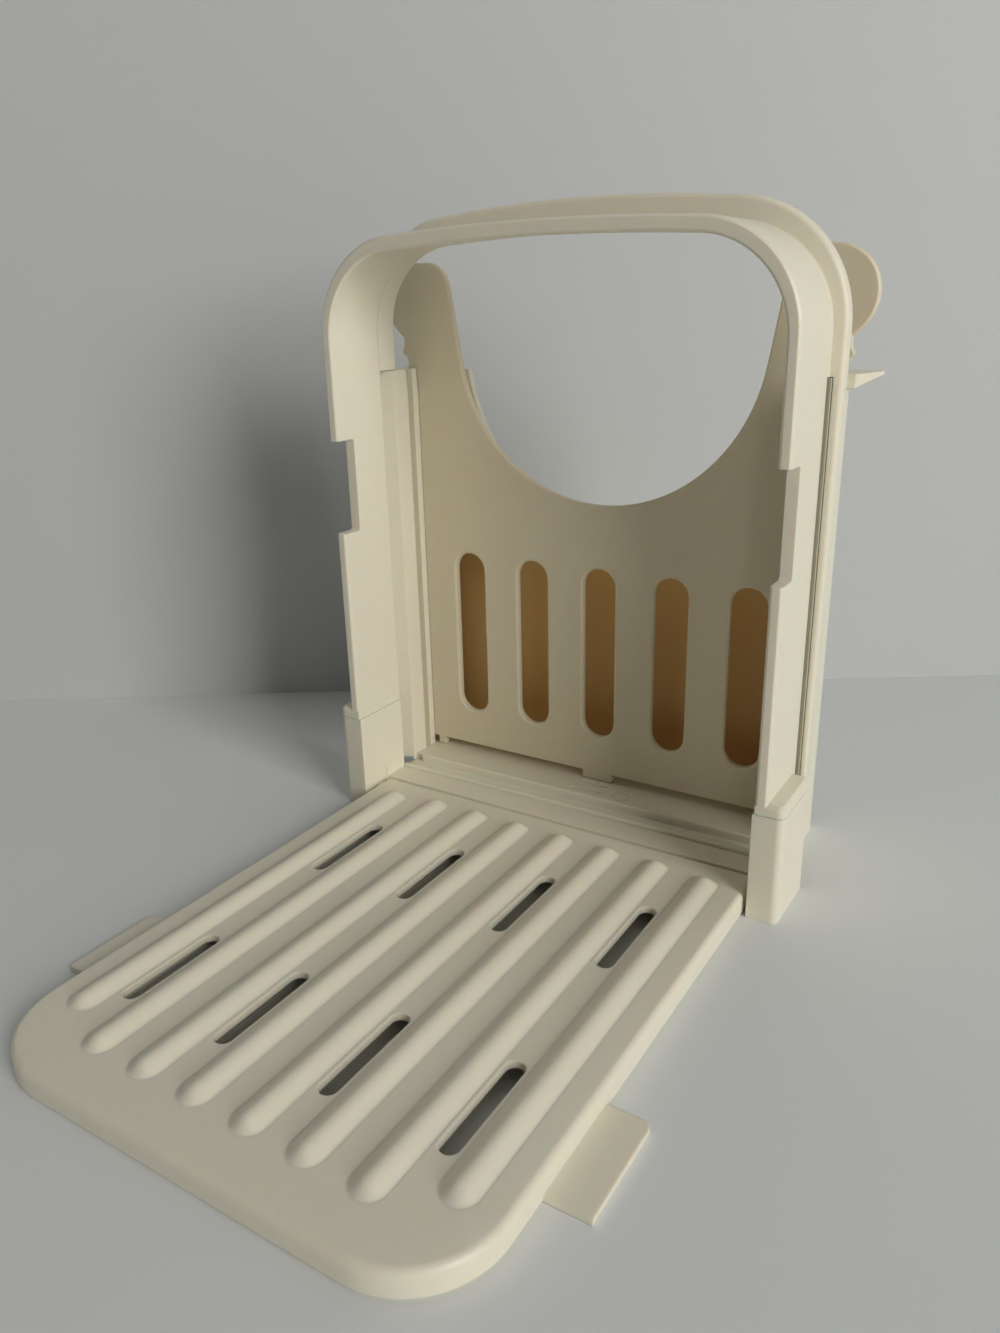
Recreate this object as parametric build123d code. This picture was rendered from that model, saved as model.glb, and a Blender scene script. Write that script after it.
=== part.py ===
from build123d import *
import os
from math import cos, hypot, radians, sin, tan

# Bread slicer guide: four plastic mouldings. A base frame with two tall side
# rails, an arch that plugs on the frame's feet and carries the knife slots, a
# ribbed bread tray that folds up on two pegs, and a lift-out stopper plate.
#
# X runs across, Y from front to back, Z up. While the pieces are modelled,
# Y = 0 is the front of the feet; each finished piece is then moved so that the
# origin lies at the middle of the whole outline, on the table.

# ---------------------------------------------------------------- dimensions
# Feet, one on each side
FOOT_IN = 73.9           # inner face, from the middle plane
FOOT_WIDE = 9.6
FOOT_DEEP = 24.2
FOOT_HIGH = 35.2         # parting line between foot and arch
FOOT_EDGE_R = 2.5        # outer front edge
FOOT_WALL = 2.0
HINGE_WALL = 3.4         # inner wall, thicker where it takes the hinge peg
SOCKET_DEEP = 12.0       # socket for the arch's spigot
CORE_CEILING = 2.0       # floor between the socket and the core below it
RELIEF_HALF = 3.85       # snap-in relief round the hinge bore
RELIEF_TOP = 12.1
RELIEF_DEEP = 0.35

# Deck between the feet and the rails
DECK_TOP = 7.0
DECK_SKIN = 2.2
DECK_SKIRT = 2.2
DECK_GAP = 0.25          # between the deck and the sweep of the tray's rear edge
REAR_FLOOR = 9.0         # the raised floor behind the second bead
BEAD_HIGH = 1.0
BEAD_WIDE = 1.5
BEAD_GROOVE = 1.0        # knife groove in front of the first bead
BEAD_GROOVE_DEEP = 0.5
BEAD_REAR_Y = 31.0       # front of the second bead
BEAD_REAR_INSET = 3.9    # the second bead stops short of the rails
CORE_PITCH = 20.5        # ribs under the deck
CORE_RIB = 2.0
DETENT_LONG = 12.6
DETENT_WIDE = 2.2
DETENT_DEEP = 0.9
DETENT_PITCH = 5.2
DETENTS = 5
RING_X = 13.6            # ejector mark beside the detents
RING_Y = 37.8
RING_R = 3.2
RING_WIDE = 0.6
RING_DEEP = 0.3

# Rails and the box behind them
RAIL_IN = 74.0
RAIL_OUT = 79.0
RAIL_FRONT = 29.0
RAIL_LEAD = 2.3          # the front face slants back by this towards the inside
RAIL_TOP = 157.0
RAIL_FOOT_Z = 8.0        # the rail's outer part stands clear of the table
GROOVE_SKIN = 0.9        # rail wall outside the grooves
REAR_GROOVE = 45.5       # front wall of the rear groove
GROOVE_GAP = 0.3         # between the plate and each wall of its groove
GROOVE_LAND = 3.0        # land between the two grooves
LEAD_IN = 0.7            # widening at the mouth of each groove
LEAD_IN_HIGH = 9.0
BOX_OUT = 74.6           # outer face of the box behind the grooves
BOX_WALL = 2.2
BOX_WEB = 2.2            # web behind the rear groove
BASE_DEEP = 67.0         # front of the feet to the back of the rear wall
REAR_WALL = 2.4
REAR_TOP = 155.5
REAR_U_R = 65.0          # radius of the rear wall's cut-out
REAR_U_Z = 165.0         # height of its centre
REAR_CORNER_R = 4.0

# Ledges at the top of the box
LEDGE_THICK = 3.8
LEDGE_TIP = 1.3
LEDGE_FRONT = 45.5
LEDGE_ROOT = 2.4         # beyond the rail, where the ledge leaves the box
LEDGE_REACH = 4.0        # further out at the widest place
LEDGE_WIDE_Y = 58.0
LEDGE_BACK_Y = 63.5

# Arch: front band A, rear band B
A_IN = 74.5
A_WALL = 3.7
A_RISE = 43.4            # crown of the outer face above the rails
A_TOP_THICK = 4.6
A_IN_R = 26.0
A_REAR_IN = 24.5         # rear edge of the inner face
A_REAR_SLANT = 2.8       # the outer face reaches further back by this
A_CROWN = 1.6            # rise of the crown over its flanks
UNDER_RISE = 2.4         # the inner face widens upwards from front to rear
LIP_BEVEL = 0.7          # front edges
B_WALL = 2.8
B_TAPER = 1.2            # band B's legs are narrower by this at their foot
B_RISE = 7.4             # crown of band B above band A's
B_CROWN = 2.4
B_R = 35.0
B_FRONT = 29.3
B_DEEP = 4.2
B_EDGE_R = 1.5
B_FOOT_Z = 20.0          # lower end of band B's legs
LEG_GAP = 0.3            # between band B's legs and the rails
JOINT_LINE = 0.3         # witness line where the two bands join
NOTCH_GAP = 0.7          # round the folded tray's tabs in the lip
NOTCH_R = 1.0
COLLAR_HIGH = 4.0        # collar over the foot
COLLAR_BEVEL = 1.0
SEAM = 0.4               # bevel that shows the parting line
SPIGOT_GAP = 0.15
SPIGOT_END = 1.0         # bevel of the plug, and its gap to the socket floor

# Bread tray
TRAY_SIDE_GAP = 1.3      # between the tray and each foot
TRAY_REACH = 159.5       # front edge, ahead of the feet
TRAY_THICK = 7.5
TRAY_CORNER_R = 24.5
TRAY_EDGE_R = 2.0
TRAY_FOOT_BEVEL = 0.9    # bottom edge
TRAY_REAR_R = 2.2        # top rear edge, which swings past the deck
TRAY_REAR_BEVEL = 3.0    # rear corners beside the feet
TRAY_SKIN = 2.2
TRAY_SKIRT = 2.4
TRAY_WEB = 1.8
HINGE_Y = 9.25
PEG_R = 2.6
PEG_GAP = 0.05           # radial running fit in the foot's bore
PEG_TIP = 0.5
RIBS = 8
RIB_PITCH = 17.15
RIB_WIDE = 9.8
RIB_HIGH = 2.4
RIB_FRONT = -147.5
RIB_OUTER_FRONT = -139.0
RIB_REAR = 6.0
RIB_OUTER_REAR = 4.3
SLOT_WIDE = 5.4
SLOT_RUNS = ((-128.4, -96.0), (-53.5, -20.0))
TAB_OUT = 84.3
TAB_FRONT = -122.4
TAB_REAR = -92.3
TAB_THICK = 2.0
TAB_CORNER_R = 2.5

# Stopper plate
PLATE_THICK = 2.6
PLATE_SIDE_GAP = 0.3
PLATE_BOTTOM = 12.4
PLATE_SHOULDER = 160.3
PLATE_GAP = 0.3          # between its tab and the floor
PLATE_TAB_HALF = 5.9
PLATE_PEG_X = -70.4
PLATE_PEG_WIDE = 3.0
NUB_REACH = 2.4          # beyond the plate's side
NUB_HIGH = 2.1
NUB_NECK = 2.3
EAR_R = 13.4
EAR_REACH = 0.4          # beyond the ledge
EAR_Z = 179.0
EAR_BEVEL = 0.5
EAR_INNER_R = 9.0
U_R = 56.0
U_Z = 168.6
U_FLARE = 9.6            # degrees, the cut-out's flanks from the vertical
PLATE_SLOTS = 5
PLATE_SLOT_PITCH = 27.1
PLATE_SLOT_WIDE = 12.6
PLATE_SLOT_Z = (26.5, 90.2)
PLATE_RIM = 0.7

# ------------------------------------------------------------ derived places
FOOT_OUT = FOOT_IN + FOOT_WIDE
GROOVE_WIDE = PLATE_THICK + 2 * GROOVE_GAP
BOX_FRONT = BASE_DEEP - REAR_WALL
HINGE_Z = TRAY_THICK / 2
TRAY_HALF = FOOT_IN - TRAY_SIDE_GAP
GROOVE_BOTTOM = RAIL_OUT - GROOVE_SKIN
# The tray's top rear edge sweeps this circle round the hinge as it folds.
SWEEP = (HINGE_Z - TRAY_REAR_R) * hypot(1, 1) + TRAY_REAR_R
DECK_FRONT = HINGE_Y + SWEEP + DECK_GAP
BEAD_FRONT_Y = A_REAR_IN         # the knife comes down in front of this bead
# The plate stands in the rear groove; its rear face backs onto the box.
FRONT_GROOVE = REAR_GROOVE - GROOVE_LAND - GROOVE_WIDE
PLATE_Y = REAR_GROOVE + GROOVE_GAP
BOX_Y = REAR_GROOVE + GROOVE_WIDE
A_OUT = A_IN + A_WALL
A_TOP = RAIL_TOP + A_RISE
B_TOP = A_TOP + B_RISE
B_BACK = B_FRONT + B_DEEP
B_IN = RAIL_OUT + LEG_GAP
B_OUT = B_IN + B_WALL
BAND_Z = RAIL_TOP + LEG_GAP      # above this the two bands are one
PLATE_HALF = GROOVE_BOTTOM - PLATE_SIDE_GAP
NUB_OUT = PLATE_HALF + NUB_REACH
LEDGE_ROOT_X = RAIL_OUT + LEDGE_ROOT
LEDGE_OUT = LEDGE_ROOT_X + LEDGE_REACH
EAR_X = LEDGE_OUT + EAR_REACH - EAR_R
# Where the folded tray's tabs stand, for the notches that let them in
NOTCH_LOW = HINGE_Z + HINGE_Y - TAB_REAR - NOTCH_GAP
NOTCH_HIGH = HINGE_Z + HINGE_Y - TAB_FRONT + NOTCH_GAP
NOTCH_DEEP = HINGE_Y + TAB_THICK - HINGE_Z + NOTCH_GAP
TO_CENTRE = (TRAY_REACH - BASE_DEEP) / 2


def block(x, y, z):
    """A box from three (low, high) pairs."""
    size = [high - low for low, high in (x, y, z)]
    middle = [(high + low) / 2 for low, high in (x, y, z)]
    return Pos(*middle) * Box(*size)


def both_sides(piece):
    """A right-hand piece and its mirror image."""
    return piece + mirror(piece, about=Plane.YZ)


def prism_x(points, half):
    """A (y, z) outline carried from x = -half to x = half."""
    face = make_face(Polyline(*[(-half, y, z) for y, z in points], close=True))
    return extrude(face, 2 * half, dir=(1, 0, 0))


def prism_y(points, start, stop):
    """An (x, z) outline carried from y = start to y = stop."""
    face = make_face(Polyline(*[(x, start, z) for x, z in points], close=True))
    return extrude(face, stop - start, dir=(0, 1, 0))


def prism_z(points, low, high):
    """An (x, y) outline carried from z = low to z = high."""
    face = make_face(Polyline(*[(x, y, low) for x, y in points], close=True))
    return extrude(face, high - low, dir=(0, 0, 1))


def stadium(x, low, high, width):
    """A round-ended slot outline in the XY plane, from low to high along Y."""
    return Pos(x, (low + high) / 2) * Rot(0, 0, 90) * SlotOverall(high - low, width)


def hoop(half, top, corner, crown, y, foot):
    """An arch outline as a face in the plane at y: straight legs, round
    corners and a crowned top, closed along z = foot."""
    flank = top - crown
    at = lambda x, z: Vector(x, y, z)
    # The corner is a quarter turn that meets the leg and leaves for the crown.
    turn = sin(radians(45)) * corner
    legs = Polyline(at(-half, flank - corner), at(-half, foot), at(half, foot),
                    at(half, flank - corner))
    right = ThreePointArc(at(half, flank - corner),
                          at(half - corner + turn, flank - corner + turn),
                          at(half - corner, flank))
    roof = ThreePointArc(at(half - corner, flank), at(0, top), at(corner - half, flank))
    left = ThreePointArc(at(corner - half, flank),
                         at(corner - half - turn, flank - corner + turn),
                         at(-half, flank - corner))
    return make_face(Wire([*legs.edges(), right, roof, left]))


def under(y):
    """The inner hoop's sizes at y: its roof rises towards the rear."""
    return A_IN, A_TOP - A_TOP_THICK + UNDER_RISE * y / B_BACK, A_IN_R, A_CROWN


def band(outer, start, stop):
    """A slab between two planes within a hoop given by its sizes."""
    return extrude(hoop(*outer, start, BAND_Z), stop - start, dir=(0, 1, 0))


# ------------------------------------------------------------------ base frame
def foot():
    """One foot: a cored box with the arch's socket above and a hinge bore."""
    x = (FOOT_IN, FOOT_OUT)
    body = block(x, (0, FOOT_DEEP), (0, FOOT_HIGH))
    front = body.edges().filter_by(Axis.Z).filter_by_position(Axis.Y, -0.1, 0.1)
    body = fillet(front.sort_by(Axis.X)[-1], FOOT_EDGE_R)
    inside = (FOOT_IN + FOOT_WALL, FOOT_OUT - FOOT_WALL)
    across = (FOOT_WALL + 1, FOOT_DEEP - FOOT_WALL - 1)
    body -= block(inside, across, (FOOT_HIGH - SOCKET_DEEP, FOOT_HIGH))
    core = (FOOT_IN + HINGE_WALL, FOOT_OUT - FOOT_WALL)
    body -= block(core, across, (0, FOOT_HIGH - SOCKET_DEEP - CORE_CEILING))
    bore = Pos(FOOT_IN + HINGE_WALL / 2, HINGE_Y, HINGE_Z) * Rot(0, 90, 0)
    relief = block((FOOT_IN, FOOT_IN + RELIEF_DEEP),
                   (HINGE_Y - RELIEF_HALF, HINGE_Y + RELIEF_HALF), (0, RELIEF_TOP))
    return body - relief - bore * Cylinder(PEG_R + PEG_GAP, HINGE_WALL)


def deck():
    """The floor: front strip, two beads, raised rear floor, cored below."""
    bead_1 = BEAD_FRONT_Y + BEAD_WIDE
    bead_2 = BEAD_REAR_Y + BEAD_WIDE
    front = prism_x([(DECK_FRONT, 0), (DECK_FRONT, DECK_TOP), (bead_2, DECK_TOP), (bead_2, 0)],
                    FOOT_IN)
    rear = prism_x([(bead_2, 0), (bead_2, REAR_FLOOR), (BASE_DEEP, REAR_FLOOR), (BASE_DEEP, 0)],
                   BOX_OUT)
    floor = front + rear
    floor -= block((-FOOT_IN, FOOT_IN), (BEAD_FRONT_Y - BEAD_GROOVE, BEAD_FRONT_Y),
                   (DECK_TOP - BEAD_GROOVE_DEEP, DECK_TOP))
    floor += bead(BEAD_FRONT_Y, DECK_TOP, FOOT_IN)
    second = bead(BEAD_REAR_Y, REAR_FLOOR, FOOT_IN - BEAD_REAR_INSET)
    floor += second + block((BEAD_REAR_INSET - FOOT_IN, FOOT_IN - BEAD_REAR_INSET),
                            (BEAD_REAR_Y, bead_2), (DECK_TOP, REAR_FLOOR))
    cores = cored(DECK_FRONT + DECK_SKIRT, BEAD_REAR_Y - DECK_SKIRT, DECK_TOP - DECK_SKIN)
    cores += cored(bead_2 + DECK_SKIRT, BOX_FRONT, REAR_FLOOR - DECK_SKIN)
    return floor - cores - detents()


def bead(y, z, half):
    """A low half-round bead across the floor, with rounded ends."""
    size = (BEAD_WIDE / 2) ** 2
    radius = (size + BEAD_HIGH ** 2) / (2 * BEAD_HIGH)
    rod = Pos(0, y + BEAD_WIDE / 2, z + BEAD_HIGH - radius) * Rot(0, 90, 0)
    body = rod * Cylinder(radius, 2 * half)
    return body & block((-half, half), (y, y + BEAD_WIDE), (z, z + BEAD_HIGH))


def cored(front, back, ceiling):
    """The row of hollows under one part of the deck, with ribs between."""
    span = 2 * (FOOT_IN - DECK_SKIRT)
    count = int(span // CORE_PITCH)
    hollows = Part()
    for i in range(count):
        x = (i - (count - 1) / 2) * CORE_PITCH
        half = (CORE_PITCH - CORE_RIB) / 2
        hollows += block((x - half, x + half), (front, back), (0, ceiling))
    return hollows


def detents():
    """Cross grooves under the plate's tab, and the ejector mark."""
    cuts = Part()
    for i in range(DETENTS):
        y = PLATE_Y + PLATE_THICK / 2 + (i - DETENTS // 2) * DETENT_PITCH
        cuts += block((-DETENT_LONG / 2, DETENT_LONG / 2),
                      (y - DETENT_WIDE / 2, y + DETENT_WIDE / 2),
                      (REAR_FLOOR - DETENT_DEEP, REAR_FLOOR))
    ring = Cylinder(RING_R, RING_DEEP) - Cylinder(RING_R - RING_WIDE, RING_DEEP)
    return cuts + Pos(RING_X, RING_Y, REAR_FLOOR - RING_DEEP / 2) * ring


def rail():
    """One side rail with its two grooves, running back into the box wall."""
    chamfer_y = BOX_Y + BOX_WEB
    outline = [(RAIL_IN, RAIL_FRONT + RAIL_LEAD), (RAIL_OUT, RAIL_FRONT), (RAIL_OUT, BOX_Y),
               (GROOVE_BOTTOM - GROOVE_SKIN, chamfer_y), (BOX_OUT, chamfer_y),
               (BOX_OUT, BASE_DEEP), (BOX_OUT - BOX_WALL, BASE_DEEP),
               (BOX_OUT - BOX_WALL, BOX_Y), (RAIL_IN, BOX_Y)]
    body = prism_z(outline, 0, RAIL_TOP)
    body -= block((0, BOX_OUT + 1), (chamfer_y, BASE_DEEP), (REAR_TOP, RAIL_TOP))
    body -= block((BOX_OUT, RAIL_OUT), (RAIL_FRONT, BASE_DEEP), (0, RAIL_FOOT_Z))
    for y in (FRONT_GROOVE, REAR_GROOVE):
        body -= block((RAIL_IN - BOX_WALL, GROOVE_BOTTOM), (y, y + GROOVE_WIDE),
                      (REAR_FLOOR, RAIL_TOP))
        mouth = [(y, RAIL_TOP - LEAD_IN_HIGH), (y - LEAD_IN, RAIL_TOP),
                 (y + GROOVE_WIDE, RAIL_TOP), (y + GROOVE_WIDE, RAIL_TOP - LEAD_IN_HIGH)]
        half = (GROOVE_BOTTOM - RAIL_IN) / 2
        body -= Pos(RAIL_IN + half, 0, 0) * prism_x(mouth, half)
    return body


def ledge():
    """The flared ledge at the top of the box, thinning to its tip."""
    low = RAIL_TOP - LEDGE_THICK
    outline = [(GROOVE_BOTTOM, LEDGE_FRONT), (LEDGE_ROOT_X, LEDGE_FRONT),
               (LEDGE_OUT, LEDGE_WIDE_Y), (LEDGE_OUT, LEDGE_BACK_Y), (BOX_OUT, BASE_DEEP),
               (BOX_OUT - BOX_WALL, BASE_DEEP), (BOX_OUT - BOX_WALL, BOX_Y),
               (GROOVE_BOTTOM, BOX_Y)]
    body = prism_z(outline, low, RAIL_TOP)
    under = [(LEDGE_ROOT_X, low), (LEDGE_OUT, RAIL_TOP - LEDGE_TIP), (LEDGE_OUT, low)]
    return body - prism_y(under, LEDGE_FRONT, BASE_DEEP)


def rear_wall():
    """The wall behind the plate, with its big round cut-out."""
    wall = block((-BOX_OUT, BOX_OUT), (BOX_FRONT, BASE_DEEP), (0, REAR_TOP))
    corners = wall.edges().filter_by(Axis.Y).filter_by_position(Axis.Z, REAR_TOP - 1, REAR_TOP + 1)
    wall = fillet(corners, REAR_CORNER_R)
    hole = Pos(0, (BOX_FRONT + BASE_DEEP) / 2, REAR_U_Z) * Rot(90, 0, 0)
    return wall - hole * Cylinder(REAR_U_R, REAR_WALL)


def base_frame():
    return deck() + both_sides(foot() + rail() + ledge()) + rear_wall()


# ------------------------------------------------------------------------ arch
def front_leg():
    """The front band's right-hand leg, its rear face slanted."""
    slant = [(A_IN, 0), (A_OUT, 0), (A_OUT, A_REAR_IN + A_REAR_SLANT), (A_IN, A_REAR_IN)]
    return prism_z(slant, FOOT_HIGH, BAND_Z)


def rear_leg():
    """The rear band's right-hand leg, tapering down to a slanted end."""
    foot_out = B_OUT - B_TAPER
    shape = [(B_IN, B_FOOT_Z), (foot_out, B_FOOT_Z + B_DEEP), (B_OUT, BAND_Z), (B_IN, BAND_Z)]
    body = prism_y(shape, B_FRONT, B_BACK)
    front = body.edges().filter_by_position(Axis.Y, B_FRONT - 0.1, B_FRONT + 0.1)
    outer = [e for e in front if e.length > BAND_Z / 2 and e.center().X > B_IN + 0.1]
    return fillet(outer, B_EDGE_R)


def collar():
    """The arch's foot: the foot's own outline with a bevelled top."""
    body = block((A_IN, FOOT_OUT), (0, FOOT_DEEP), (FOOT_HIGH, FOOT_HIGH + COLLAR_HIGH))
    front = body.edges().filter_by(Axis.Z).filter_by_position(Axis.Y, -0.1, 0.1)
    body = fillet(front.sort_by(Axis.X)[-1], FOOT_EDGE_R)
    for z, bevel in ((FOOT_HIGH + COLLAR_HIGH, COLLAR_BEVEL), (FOOT_HIGH, SEAM)):
        level = body.edges().filter_by_position(Axis.Z, z - 0.1, z + 0.1)
        # The front edge, the round corner and the outer side, but no inner or rear edge
        shown = [e for e in level if e.center().X > A_IN + 0.1 and e.center().Y < FOOT_DEEP - 0.1]
        body = chamfer(shown, bevel)
    return body


def spigot():
    """The plug under the collar, a little clear of the foot's socket."""
    gap = SPIGOT_GAP
    x = (FOOT_IN + FOOT_WALL + gap, FOOT_OUT - FOOT_WALL - gap)
    y = (FOOT_WALL + 1 + gap, FOOT_DEEP - FOOT_WALL - 1 - gap)
    plug = block(x, y, (FOOT_HIGH - SOCKET_DEEP + SPIGOT_END, FOOT_HIGH + COLLAR_HIGH / 2))
    return chamfer(plug.faces().sort_by(Axis.Z)[0].edges(), SPIGOT_END)


def notch():
    """The cut in the front lip that lets a folded tray tab through."""
    x = (A_IN - 1, A_OUT + 1)
    cut = block(x, (-1, NOTCH_DEEP), (NOTCH_LOW, NOTCH_HIGH))
    inner = cut.edges().filter_by(Axis.X).filter_by_position(Axis.Y, NOTCH_DEEP - 1, NOTCH_DEEP + 1)
    return fillet(inner, NOTCH_R)


def arch():
    front = band((A_OUT, A_TOP, A_IN_R + A_WALL, A_CROWN), 0, B_FRONT)
    rear = band((B_OUT, B_TOP, B_R, B_CROWN), B_FRONT, B_BACK)
    crown = rear.faces().filter_by(Axis.Y).sort_by(Axis.Y)[0].edges()
    rear = fillet(crown.filter_by_position(Axis.Z, BAND_Z + 1, B_TOP + 1), B_EDGE_R)
    inner = loft([hoop(*under(0), 0, BAND_Z), hoop(*under(B_BACK), B_BACK, BAND_Z)], ruled=True)
    shell = front - inner + both_sides(front_leg())
    lip = shell.edges().filter_by_position(Axis.Y, -0.01, 0.01)
    shell = chamfer([e for e in lip if e.center().Z > FOOT_HIGH + 0.1], LIP_BEVEL)
    half, top, corner, crown = under(A_REAR_IN)
    line = band((half + JOINT_LINE, top + JOINT_LINE, corner + JOINT_LINE, crown), A_REAR_IN,
                A_REAR_IN + JOINT_LINE)
    feet = collar() + spigot() + rear_leg()
    return shell + (rear - inner) - line + both_sides(feet) - both_sides(notch())


# ------------------------------------------------------------------ bread tray
def rib(x, front, rear):
    """A domed rib: a round-ended rod of which only the top stands proud."""
    radius = ((RIB_WIDE / 2) ** 2 + RIB_HIGH ** 2) / (2 * RIB_HIGH)
    axis_z = TRAY_THICK + RIB_HIGH - radius
    half = RIB_WIDE / 2
    first, last = front + half, rear - half
    rod = Pos(x, (first + last) / 2, axis_z) * Rot(90, 0, 0) * Cylinder(radius, last - first)
    ends = [Pos(x, y, axis_z) * Sphere(radius) for y in (first, last)]
    above = block((x - half, x + half), (front, rear), (TRAY_THICK, TRAY_THICK + RIB_HIGH))
    return (rod + ends) & above


def tray_body():
    """The tray's slab: round front corners, and a rear edge that clears the
    deck and the table as the tray folds up round its pegs."""
    rear = HINGE_Y + HINGE_Z
    slab = block((-TRAY_HALF, TRAY_HALF), (-TRAY_REACH, rear), (0, TRAY_THICK))
    corners = slab.edges().filter_by(Axis.Z)
    slab = fillet(corners.filter_by_position(Axis.Y, -TRAY_REACH - 1, -TRAY_REACH + 1),
                  TRAY_CORNER_R)
    rim = slab.faces().sort_by(Axis.Z)[-1].outer_wire().edges()
    slab = fillet(rim.filter_by_position(Axis.Y, -TRAY_REACH - 1, rear - 1), TRAY_EDGE_R)
    rim = slab.faces().sort_by(Axis.Z)[0].outer_wire().edges()
    slab = chamfer(rim.filter_by_position(Axis.Y, -TRAY_REACH - 1, rear - 1), TRAY_FOOT_BEVEL)
    hinge = Pos(0, HINGE_Y, HINGE_Z) * Rot(0, 90, 0)
    # Below and behind the hinge only the round of the slab's own thickness stays.
    wide = (-TRAY_HALF, TRAY_HALF)
    under = block(wide, (HINGE_Y, rear), (0, HINGE_Z))
    slab -= under - hinge * Cylinder(HINGE_Z, 2 * TRAY_HALF)
    start, low = rear - TRAY_REAR_R, TRAY_THICK - TRAY_REAR_R
    swing = Pos(0, start, low) * Rot(0, 90, 0) * Cylinder(TRAY_REAR_R, 2 * TRAY_HALF)
    slab -= block(wide, (start, rear), (low, TRAY_THICK)) - swing
    bevel = [(TRAY_HALF - TRAY_REAR_BEVEL, rear), (TRAY_HALF, rear),
             (TRAY_HALF, rear - TRAY_REAR_BEVEL)]
    slab -= both_sides(prism_z(bevel, 0, TRAY_THICK))
    peg = hinge * Cylinder(PEG_R, 2 * (FOOT_IN + HINGE_WALL))
    return slab + chamfer(peg.edges(), PEG_TIP)


def tray_hollows():
    """The hollows under the tray, between webs that stand under the ribs."""
    skirt = TRAY_SKIRT
    back = HINGE_Y - HINGE_Z - skirt
    hollow = block((skirt - TRAY_HALF, TRAY_HALF - skirt), (skirt - TRAY_REACH, back),
                   (0, TRAY_THICK - TRAY_SKIN))
    corners = hollow.edges().filter_by(Axis.Z).filter_by_position(
        Axis.Y, -TRAY_REACH, 2 * skirt - TRAY_REACH)
    hollow = fillet(corners, TRAY_CORNER_R - skirt)
    for i in range(RIBS):
        x = (i - (RIBS - 1) / 2) * RIB_PITCH
        hollow -= block((x - TRAY_WEB / 2, x + TRAY_WEB / 2), (-TRAY_REACH, HINGE_Y),
                        (0, TRAY_THICK))
    middle = (SLOT_RUNS[0][1] + SLOT_RUNS[1][0]) / 2
    return hollow - block((-TRAY_HALF, TRAY_HALF), (middle - TRAY_WEB / 2, middle + TRAY_WEB / 2),
                          (0, TRAY_THICK))


def bread_tray():
    tray = tray_body() - tray_hollows()
    for i in range(RIBS):
        x = (i - (RIBS - 1) / 2) * RIB_PITCH
        outer = i in (0, RIBS - 1)
        tray += rib(x, RIB_OUTER_FRONT if outer else RIB_FRONT,
                    RIB_OUTER_REAR if outer else RIB_REAR)
    for x in (-3 * RIB_PITCH, -RIB_PITCH, RIB_PITCH, 3 * RIB_PITCH):
        for run in SLOT_RUNS:
            tray -= extrude(stadium(x, *run, SLOT_WIDE), TRAY_THICK)
    tab = block((TRAY_HALF - TRAY_SKIRT, TAB_OUT), (TAB_FRONT, TAB_REAR), (0, TAB_THICK))
    outer = tab.edges().filter_by(Axis.Z).filter_by_position(Axis.X, TAB_OUT - 1, TAB_OUT + 1)
    return tray + both_sides(fillet(outer.sort_by(Axis.Y)[-1], TAB_CORNER_R))


# --------------------------------------------------------------- stopper plate
def plate_outline():
    """The plate's front view: straight sides, nubs, two ears, a flared U."""
    top = EAR_Z + EAR_R
    lean = tan(radians(U_FLARE))
    # The flank leaves the round of the U where both point the same way.
    turn_x = U_R * cos(radians(U_FLARE))
    turn_z = U_Z - U_R * sin(radians(U_FLARE))
    top_x = turn_x + lean * (top - turn_z)
    side = make_face(Polyline((0, PLATE_BOTTOM), (PLATE_HALF, PLATE_BOTTOM),
                              (PLATE_HALF, PLATE_SHOULDER), (NUB_OUT, PLATE_SHOULDER + NUB_HIGH),
                              (NUB_OUT - 1, PLATE_SHOULDER + NUB_HIGH + NUB_NECK),
                              (NUB_OUT - 1, EAR_Z), (EAR_X, top), (top_x, top), (0, top),
                              close=True))
    side += Pos(EAR_X, EAR_Z) * Circle(EAR_R)
    flare = make_face(Polyline((0, turn_z), (turn_x, turn_z), (top_x, top), (0, top), close=True))
    side -= flare
    side -= Pos(0, U_Z) * Circle(U_R) & Pos(0, turn_z - U_R) * Rectangle(4 * U_R, 2 * U_R)
    tip = [v for v in side.vertices() if abs(v.X - top_x) < 0.01 and abs(v.Y - top) < 0.01]
    side = fillet(tip, EAR_INNER_R)
    return side


def stopper_plate():
    half = extrude(Plane.XZ * plate_outline(), -PLATE_THICK)
    ear = [e for e in half.edges() if e.geom_type == GeomType.CIRCLE and e.center().X > EAR_X]
    half = chamfer([e for e in ear if e.center().Z > EAR_Z - EAR_R], EAR_BEVEL)
    plate = Pos(0, PLATE_Y, 0) * both_sides(half)
    y = (PLATE_Y, PLATE_Y + PLATE_THICK)
    foot_z = (REAR_FLOOR + PLATE_GAP, PLATE_BOTTOM)
    plate += block((-PLATE_TAB_HALF, PLATE_TAB_HALF), y, foot_z)
    plate += block((PLATE_PEG_X - PLATE_PEG_WIDE / 2, PLATE_PEG_X + PLATE_PEG_WIDE / 2), y, foot_z)
    low, high = PLATE_SLOT_Z
    for i in range(PLATE_SLOTS):
        x = (i - (PLATE_SLOTS - 1) / 2) * PLATE_SLOT_PITCH
        hole = extrude(Plane.XZ.offset(-PLATE_Y) * stadium(x, low, high, PLATE_SLOT_WIDE),
                       -PLATE_THICK)
        mouth = stadium(x, low - PLATE_RIM, high + PLATE_RIM, PLATE_SLOT_WIDE + 2 * PLATE_RIM)
        hole += extrude(Plane.XZ.offset(-PLATE_Y) * mouth, -PLATE_RIM, taper=45)
        plate -= hole
    return plate


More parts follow.
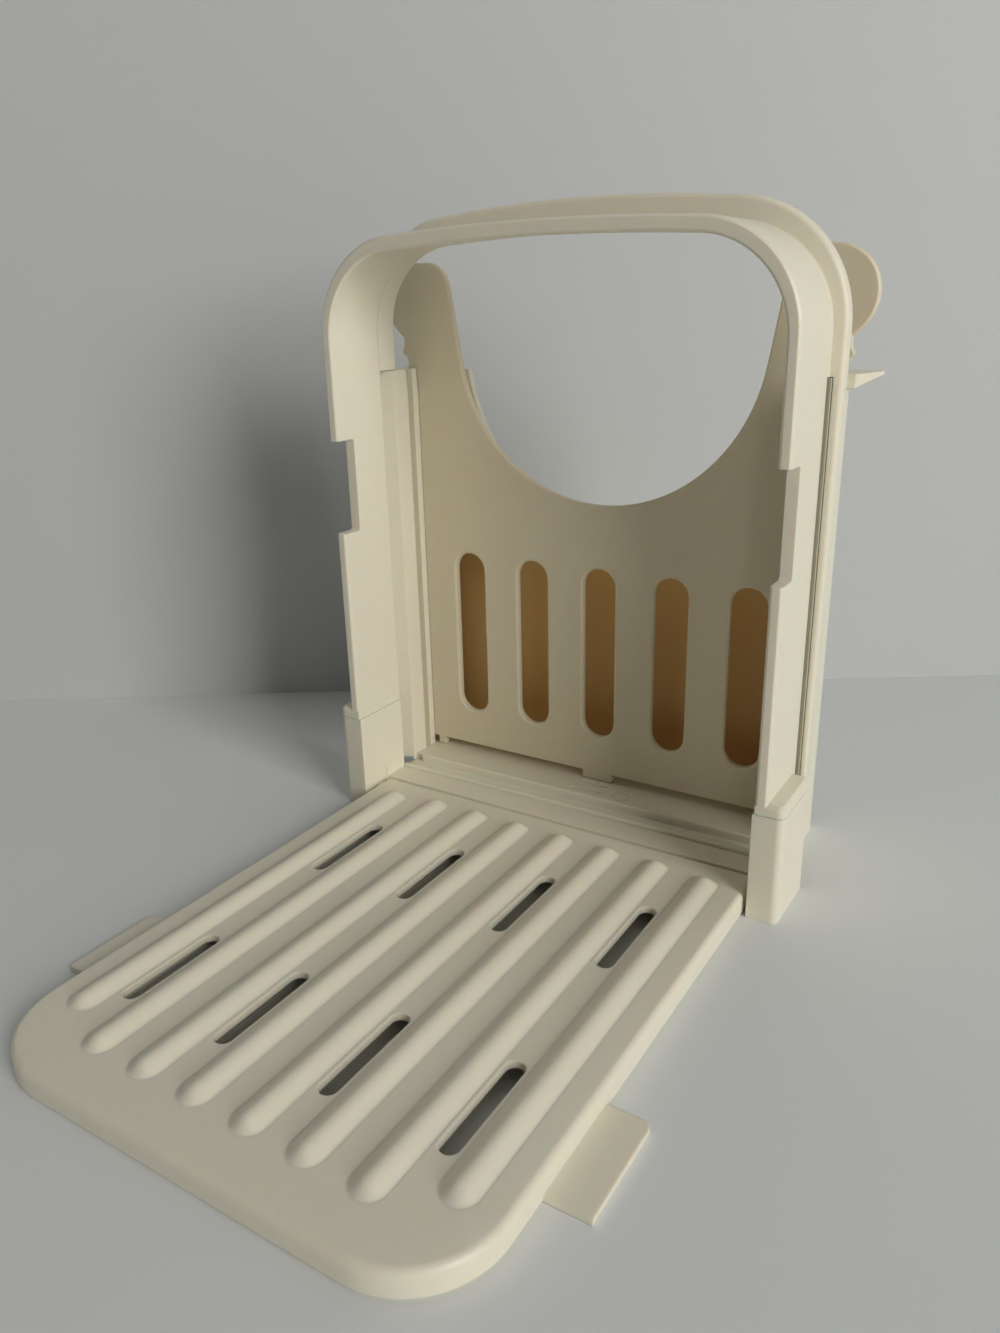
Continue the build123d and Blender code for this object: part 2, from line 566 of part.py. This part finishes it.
# ---------------------------------------------------------------------- output
pieces = {
    "base_frame": base_frame(),
    "arch": arch(),
    "bread_tray": bread_tray(),
    "stopper_plate": stopper_plate(),
}
os.makedirs("parts", exist_ok=True)
for name, piece in pieces.items():
    export_step(Pos(0, TO_CENTRE, 0) * piece, f"parts/{name}.step")
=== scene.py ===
import math

import bmesh
import bpy
import numpy as np
from mathutils import Matrix, Vector


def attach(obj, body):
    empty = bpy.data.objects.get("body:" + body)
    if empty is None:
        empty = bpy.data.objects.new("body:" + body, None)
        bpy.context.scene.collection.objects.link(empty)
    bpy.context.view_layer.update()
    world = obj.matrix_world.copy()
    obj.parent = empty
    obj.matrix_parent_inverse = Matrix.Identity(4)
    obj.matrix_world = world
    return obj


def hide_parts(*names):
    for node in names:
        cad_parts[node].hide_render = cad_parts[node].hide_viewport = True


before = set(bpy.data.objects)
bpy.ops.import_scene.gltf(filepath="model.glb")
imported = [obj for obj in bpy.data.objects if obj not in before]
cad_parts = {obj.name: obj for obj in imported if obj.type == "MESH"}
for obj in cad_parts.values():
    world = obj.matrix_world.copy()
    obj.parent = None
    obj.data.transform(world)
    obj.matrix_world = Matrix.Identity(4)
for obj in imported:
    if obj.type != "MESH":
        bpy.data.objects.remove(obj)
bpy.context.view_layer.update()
MM = 0.001

# ------------------------------------------------------------------ camera
# The eye's place, heading, tilt and roll that put the guide's edges where the
# photograph has them; the focal length is in pixels of a 1000 x 1333 image.
EYE_MM = (154.84, -217.21, 178.84)
HEADING, DOWN, ROLL = math.radians(32.436), math.radians(19.743), math.radians(-1.450)
FOCAL_PX = 1015.3
IMAGE_HIGH = 1333
SENSOR_MM = 36.0
NEAR_CLIP = 0.01         # metres

# ------------------------------------------------------------------ colours
# Linear colours: the plastic, its deeper and paler shades, the plate's tone, darker and
# warmer as painted shade and painted warm bounce light of the pocket it stands in, and an
# amber, painted light that stands in for light that has come through the walls
IVORY = (0.845, 0.795, 0.65)
IVORY_DEEP = (0.805, 0.727, 0.545)
IVORY_PALE = (0.88, 0.845, 0.715)
IVORY_PLATE_PAINTED_SHADE = (0.765, 0.69, 0.51)
AMBER_PAINTED_LIGHT = (0.90, 0.645, 0.28)
AIR_BLUE = (0.93, 0.97, 1.0)
TABLE_GREY = (0.80, 0.815, 0.80)
WALL_GREY = (0.58, 0.59, 0.58)


# ------------------------------------------------------------------ shader maths
class Sock:
    """A socket with arithmetic: each operator adds one Math node, also with
    the number on the left, as in 1 - mask."""

    def __init__(self, tree, out):
        self.tree, self.out = tree, out

    def maths(self, operation, *others, clamp=False):
        node = self.tree.nodes.new("ShaderNodeMath")
        node.operation, node.use_clamp = operation, clamp
        for i, value in enumerate((self, *others)):
            plug(self.tree, node.inputs[i], value)
        return Sock(self.tree, node.outputs[0])

    def flipped(self, operation, other):
        node = self.tree.nodes.new("ShaderNodeMath")
        node.operation = operation
        plug(self.tree, node.inputs[0], other)
        plug(self.tree, node.inputs[1], self)
        return Sock(self.tree, node.outputs[0])

    def __add__(self, other): return self.maths("ADD", other)
    def __radd__(self, other): return self.maths("ADD", other)
    def __sub__(self, other): return self.maths("SUBTRACT", other)
    def __rsub__(self, other): return self.flipped("SUBTRACT", other)
    def __mul__(self, other): return self.maths("MULTIPLY", other)
    def __rmul__(self, other): return self.maths("MULTIPLY", other)
    def clamp(self): return self.maths("ADD", 0.0, clamp=True)


def plug(tree, socket, value):
    """Sets a socket to a number or colour, or links it to a Sock."""
    if isinstance(value, Sock):
        tree.links.new(value.out, socket)
    else:
        socket.default_value = value


class Shader:
    """A material's node tree, built by name."""

    def __init__(self, name):
        self.material = bpy.data.materials.new(name)
        self.material.use_nodes = True
        self.tree = self.material.node_tree
        self.tree.nodes.clear()

    def add(self, kind, out=0, settings=None, **inputs):
        """Any node: its settings first, then the values or links of its
        sockets, named with _ for a space, or numbered as _0."""
        node = self.tree.nodes.new("ShaderNode" + kind)
        for key, value in (settings or {}).items():
            setattr(node, key, value)
        for key, value in inputs.items():
            name = int(key[1:]) if key[1:].isdigit() else key.replace("_", " ")
            plug(self.tree, node.inputs[name], value)
        return Sock(self.tree, node.outputs[out])

    def place(self):
        return self.add("TexCoord", out="Object")

    def noise(self, scale, detail=2.0, where=None, rough=0.5):
        return self.add("TexNoise", Vector=where or self.place(), Scale=scale, Detail=detail,
                        Roughness=rough)

    def mix(self, factor, a, b):
        """A colour between a and b."""
        return self.add("Mix", out=2, settings={"data_type": "RGBA"}, _0=factor, _6=a, _7=b)

    def finish(self, shader):
        output = self.tree.nodes.new("ShaderNodeOutputMaterial")
        self.tree.links.new(shader.out, output.inputs["Surface"])
        return self.material


def rgba(colour):
    return (*colour, 1.0)


# ------------------------------------------------------------------ plastic
# Noise scales, per metre: the melt's clouds, the mould's texture, the drag
# lines along the draw, which run long in height, and the scuffs
CLOUD_SCALE, FINE_SCALE, DRAG_SCALE, SCUFF_SCALE = 26.0, 900.0, 520.0, 95.0
DRAG_STRETCH = 0.12
# Where the noise starts to show in the colour, how steeply, and how much
CLOUD_FROM, CLOUD_GAIN, TONE_KEPT = 0.35, 1.1, 0.82
SCUFF_FROM, SCUFF_GAIN, SCUFF_SHOWS = 0.56, 2.2, 0.35
# What the scuffs and the texture add to the roughness
SCUFF_ROUGH, FINE_ROUGH = 0.16, 0.05
# Relief: the parts of texture and drag lines, how strong, and metres deep
FINE_PART, DRAG_PART, RELIEF, RELIEF_DEEP = 0.55, 0.45, 0.10, 0.0004
# Light that soaks in: its share, how far each of red, green and blue goes,
# and the metres that stand for 1
SOAK, SOAK_REACH, SOAK_SCALE = 0.50, (1.0, 0.50, 0.22), 0.0018
# The amber patch of painted light on the rear wall's inner face, in place of light that has
# come through the walls, in millimetres: its nearest and furthest depth, half width and
# height
PAINTED_LIGHT_PATCH_MM = (107.0, 110.95, 72.3, 94.0)


def moulded_ivory(name, tone, gloss, edge, glow=None):
    """Satin moulded plastic: cloudy colour from the melt's flow, a fine
    texture from the mould, faint drag lines along the draw and handling
    scuffs that dull the shine. Light soaks into it, red furthest, and every
    edge is shaded as a small round of the given radius in millimetres. Glow
    gives two depths, a half width and a height in millimetres: in there the
    colour is amber, in place of light that has come through the walls."""
    s = Shader(name)
    where = s.place()
    cloud = s.noise(CLOUD_SCALE, 3.0, where)
    fine = s.noise(FINE_SCALE, 2.0, where)
    stretched = s.add("Mapping", Vector=where, Scale=(1.0, 1.0, DRAG_STRETCH))
    drag = s.noise(DRAG_SCALE, 2.0, stretched, 0.6)
    scuff = s.noise(SCUFF_SCALE, 5.0, where, 0.7)
    deep = s.mix((cloud - CLOUD_FROM) * CLOUD_GAIN, rgba(tone), rgba(IVORY_DEEP))
    worn = ((scuff - SCUFF_FROM) * SCUFF_GAIN).clamp() * SCUFF_SHOWS
    colour = s.mix(worn, s.mix(TONE_KEPT, deep, rgba(tone)), rgba(IVORY_PALE))
    # Painted light: inside the patch the colour is amber, in place of light that has come
    # through the walls
    if glow:
        near, far, half, top = (value * MM for value in glow)
        x, y, z = (s.add("SeparateXYZ", out=axis, Vector=where) for axis in range(3))
        painted_light_patch = (y.maths("GREATER_THAN", near) * y.maths("LESS_THAN", far)
                  * x.maths("ABSOLUTE").maths("LESS_THAN", half) * z.maths("LESS_THAN", top))
        colour = s.mix(painted_light_patch, colour, rgba(AMBER_PAINTED_LIGHT))
    rough = gloss + (scuff - 0.5) * SCUFF_ROUGH + (fine - 0.5) * FINE_ROUGH
    rounded = s.add("Bevel", settings={"samples": 6}, Radius=edge * MM)
    bump = s.add("Bump", Strength=RELIEF, Distance=RELIEF_DEEP,
                 Height=fine * FINE_PART + drag * DRAG_PART, Normal=rounded)
    body = s.add("BsdfPrincipled", Base_Color=colour, Roughness=rough.clamp(), Normal=bump,
                 IOR=1.50, Subsurface_Weight=SOAK, Subsurface_Radius=SOAK_REACH,
                 Subsurface_Scale=SOAK_SCALE)
    return s.finish(body)


# ------------------------------------------------------------------ mouldings
MERGE_MM = 0.002
SHARP = math.radians(30)


def softened(node, body, material, reshape=None):
    """A CAD moulding as one smooth skin: a merged copy of its mesh, with edges
    sharper than SHARP kept as edges. Reshape may change the copy first."""
    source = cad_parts[node]
    mesh = source.data.copy()
    shape = bmesh.new()
    shape.from_mesh(mesh)
    bmesh.ops.remove_doubles(shape, verts=shape.verts, dist=MERGE_MM * MM)
    if reshape:
        reshape(shape)
    for face in shape.faces:
        face.smooth = True
    for edge in shape.edges:
        edge.smooth = not edge.is_manifold or edge.calc_face_angle(0.0) < SHARP
    shape.to_mesh(mesh)
    shape.free()
    mesh.materials.clear()
    mesh.materials.append(material)
    piece = bpy.data.objects.new(node + "_moulding", mesh)
    bpy.context.scene.collection.objects.link(piece)
    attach(piece, body)
    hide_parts(node)


# The tray's ribs, in millimetres: top of the slab, half width, height and the
# ends of the ribs along the tray; the outermost two are shorter.
SLAB_TOP, RIB_HALF, RIB_HIGH, RIB_PITCH = 7.5, 4.9, 2.4, 17.15
RIB_RUN, OUTER_RUN = (-101.25, 52.25), (-92.75, 50.55)
RIBS = 8
DOME_ABOVE = 0.02        # what lies this far above the slab is a dome
RIB_POWER = 1.6          # the larger, the softer the rib's foot
RIB_SUNK, RIB_PAST = 0.05, 1.015     # its rim: how deep, and how far out
RIB_STEPS, TURN_STEPS = 10, 18       # faces from the axis out, and round an end
POLE_MM = 0.001


def bell_ribs(shape):
    """Trades the tray's domed ribs for ribs with a soft foot. At a share t of
    its half width out from its axis, a rib is as high as 1 less t squared, to
    the power RIB_POWER, so it flattens out into the slab. The same curve is
    turned round both ends. All ribs are one grid: rib, place round it, t."""
    domes = [f for f in shape.faces
             if f.calc_center_median().z > (SLAB_TOP + DOME_ABOVE) * MM]
    bmesh.ops.delete(shape, geom=domes, context="FACES")
    t = np.append(np.sin(np.linspace(0.0, math.pi / 2, RIB_STEPS + 1)), RIB_PAST)
    high = (RIB_HIGH + RIB_SUNK) * np.clip(1 - t ** 2, 0, 1) ** RIB_POWER - RIB_SUNK
    turn = np.linspace(0.0, math.pi, TURN_STEPS + 1)
    angle = np.concatenate([turn, turn + math.pi])
    axis = (np.arange(RIBS) - (RIBS - 1) / 2) * RIB_PITCH
    front, rear = np.array([OUTER_RUN] + [RIB_RUN] * (RIBS - 2) + [OUTER_RUN]).T
    ends = np.column_stack([rear - RIB_HALF, front + RIB_HALF])
    centre = np.repeat(ends, len(turn), axis=1)
    px = axis[:, None, None] + RIB_HALF * np.outer(np.cos(angle), t)
    py = centre[:, :, None] + RIB_HALF * np.outer(np.sin(angle), t)
    pz = np.broadcast_to(SLAB_TOP + high, px.shape)
    points = np.stack([px, py, pz], axis=-1).reshape(-1, 3) * MM
    here = np.arange(px.size).reshape(px.shape)
    after = np.roll(here, -1, axis=1)
    faces = np.stack([here[..., :-1], here[..., 1:], after[..., 1:], after[..., :-1]],
                     axis=-1)
    mesh = bpy.data.meshes.new("soft_ribs")
    mesh.from_pydata(points.tolist(), [], faces.reshape(-1, 4).tolist())
    ribs = bmesh.new()
    ribs.from_mesh(mesh)
    bmesh.ops.remove_doubles(ribs, verts=ribs.verts, dist=POLE_MM * MM)
    ribs.to_mesh(mesh)
    ribs.free()
    shape.from_mesh(mesh)
    bpy.data.meshes.remove(mesh)


# The frame's material carries the patch of painted light on the rear wall's inner face
frame_ivory = moulded_ivory("frame_ivory", IVORY, gloss=0.42, edge=0.15, glow=PAINTED_LIGHT_PATCH_MM)
arch_ivory = moulded_ivory("arch_ivory", IVORY, gloss=0.38, edge=0.4)
tray_ivory = moulded_ivory("tray_ivory", IVORY, gloss=0.40, edge=0.8)
# The plate's tone is painted shade: darker and warmer than the plastic, as in its shaded
# pocket
plate_ivory_painted_shade = moulded_ivory("plate_ivory_painted_shade", IVORY_PLATE_PAINTED_SHADE, gloss=0.46, edge=0.4)

softened("base_frame", "stand", frame_ivory)
softened("arch", "stand", arch_ivory)
softened("bread_tray", "tray", tray_ivory, reshape=bell_ribs)
softened("stopper_plate", "stopper", plate_ivory_painted_shade)


# ------------------------------------------------------------------ stage
# In metres: the wall stands square to the view, this far ahead of the eye
WALL_AHEAD, WALL_HIGH = 0.468, 2.4
TABLE_NEAR, TABLE_FAR = -2.5, 3.0
STAGE_HALF = 3.0
PAINT_ROUGH = 0.6


def sweep(name, profile, material):
    """A sheet: a (distance ahead of the eye, height) profile carried straight
    across the view, STAGE_HALF to each side."""
    line = np.array(profile, float)
    across = np.repeat([-STAGE_HALF, STAGE_HALF], len(line))
    ahead_of, height = np.tile(line[:, 0], 2), np.tile(line[:, 1], 2)
    level = np.array([math.cos(HEADING), math.sin(HEADING)])
    away = np.array([-math.sin(HEADING), math.cos(HEADING)])
    foot = np.array(EYE_MM[:2]) * MM
    flat = foot + np.outer(across, level) + np.outer(ahead_of, away)
    points = np.column_stack([flat, height])
    n = len(line)
    i = np.arange(n - 1)
    faces = np.column_stack([i, i + n, i + n + 1, i + 1])
    mesh = bpy.data.meshes.new(name)
    mesh.from_pydata(points.tolist(), [], faces.tolist())
    mesh.materials.append(material)
    piece = bpy.data.objects.new(name, mesh)
    bpy.context.scene.collection.objects.link(piece)


def matt(name, colour, one_sided=False):
    """Plain matt paint; a one-sided sheet lets the eye through from behind."""
    s = Shader(name)
    body = s.add("BsdfPrincipled", Base_Color=rgba(colour), Roughness=PAINT_ROUGH)
    if one_sided:
        body = s.add("MixShader", _0=s.add("NewGeometry", out="Backfacing"), _1=body,
                     _2=s.add("BsdfTransparent"))
    return s.finish(body)


sweep("table_top", [(TABLE_NEAR, 0.0), (TABLE_FAR, 0.0)], matt("table_grey", TABLE_GREY))
sweep("back_wall", [(WALL_AHEAD, 0.0), (WALL_AHEAD, WALL_HIGH)],
      matt("wall_grey", WALL_GREY, one_sided=True))


# ------------------------------------------------------------------ lights
AIR_STRENGTH = 0.045


def lamp(name, place, target, size, power, colour):
    """A rectangular lamp at a place, turned to its target, in metres and watts."""
    data = bpy.data.lights.new(name, "AREA")
    data.shape = "RECTANGLE"
    data.size, data.size_y = size
    data.energy = power
    data.color = colour
    obj = bpy.data.objects.new(name, data)
    obj.location = place
    obj.rotation_euler = (Vector(target) - Vector(place)).to_track_quat("-Z", "Y").to_euler()
    bpy.context.scene.collection.objects.link(obj)


lamp("window_right", place=(2.65, -0.99, 1.12), target=(0.0, 0.0, 0.09),
     size=(1.3, 1.7), power=59.0, colour=(1.0, 0.99, 0.97))
lamp("ceiling", place=(-0.4, -0.2, 2.3), target=(0.0, 0.0, 0.0),
     size=(2.6, 2.6), power=5.5, colour=(0.97, 0.98, 1.0))

world = bpy.data.worlds.new("room")
bpy.context.scene.world = world
world.use_nodes = True
air = world.node_tree.nodes["Background"]
air.inputs["Color"].default_value = rgba(AIR_BLUE)
air.inputs["Strength"].default_value = AIR_STRENGTH

# ------------------------------------------------------------------ camera
ahead = Vector((-math.sin(HEADING) * math.cos(DOWN), math.cos(HEADING) * math.cos(DOWN),
                -math.sin(DOWN)))
level = Vector((math.cos(HEADING), math.sin(HEADING), 0.0))
upright = level.cross(ahead)
right = level * math.cos(ROLL) + upright * math.sin(ROLL)
up = upright * math.cos(ROLL) - level * math.sin(ROLL)
lens = bpy.data.cameras.new("camera")
lens.sensor_width = SENSOR_MM
lens.lens = SENSOR_MM * FOCAL_PX / IMAGE_HIGH
lens.clip_start = NEAR_CLIP
camera = bpy.data.objects.new("camera", lens)
turn = Matrix((right, up, -ahead)).transposed().to_4x4()
camera.matrix_world = Matrix.Translation(Vector(EYE_MM) * MM) @ turn
bpy.context.scene.collection.objects.link(camera)
bpy.context.scene.camera = camera
bpy.context.scene.view_settings.view_transform = "Standard"
